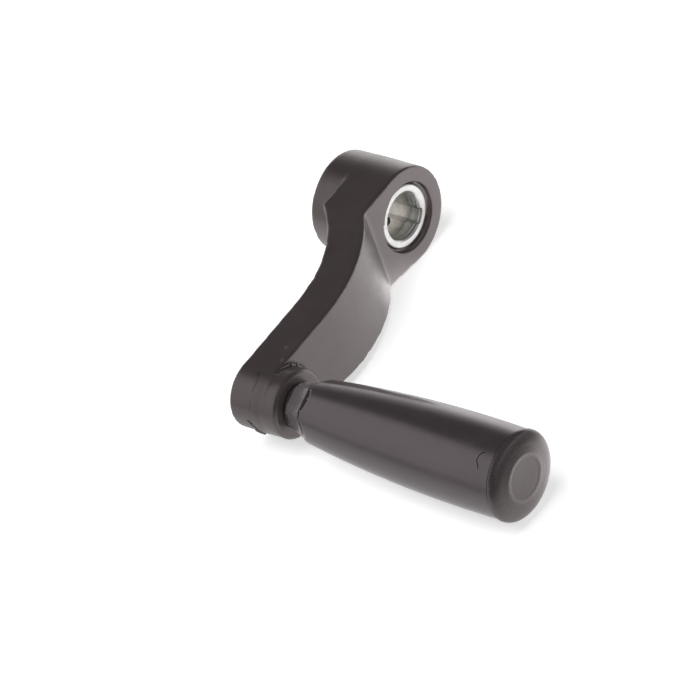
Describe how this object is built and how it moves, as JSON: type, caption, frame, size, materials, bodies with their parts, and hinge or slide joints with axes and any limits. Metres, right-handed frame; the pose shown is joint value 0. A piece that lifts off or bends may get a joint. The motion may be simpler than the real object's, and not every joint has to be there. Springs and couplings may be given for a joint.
{
  "type": "crank handle",
  "caption": "Offset crank handle: a moulded hub with a keyed steel bush, a cranked tapered arm and a hexagon-necked grip that turns on an axle screw.",
  "frame": {"origin": "on the bore axis, at the hub's back face", "axes": "+Y along the bore, out of the hub's back, where the shaft leaves; the arm runs towards -X and the grip points to -Y; +Z is the side of the arm that the picture shows, so the crank lies on its side"},
  "size_m": [0.0926, 0.11, 0.027],
  "materials": {
    "arm": "satin black moulded plastic",
    "hub_bush": "bright zinc plated steel, turned",
    "set_screw": "black oxide",
    "threaded_insert": "turned",
    "axle_screw": "zinc plated",
    "axle_washer": "zinc plated",
    "grip": "semi-gloss black moulded plastic",
    "end_cap": "satin black moulded plastic"
  },
  "bodies": {
    "crank": {"arm": "arm", "hub_bush": "hub_bush", "set_screw": "set_screw", "threaded_insert": "threaded_insert", "axle_screw": "axle_screw", "axle_washer": "axle_washer"},
    "turning_grip": {"grip": "grip", "end_cap": "end_cap"}
  },
  "joints": [
    {"name": "grip_spin", "type": "hinge", "parent": "crank", "child": "turning_grip", "pos_m": [-0.0675, -0.0735, 0], "axis": [0, -1, 0], "continuous": true}
  ]
}
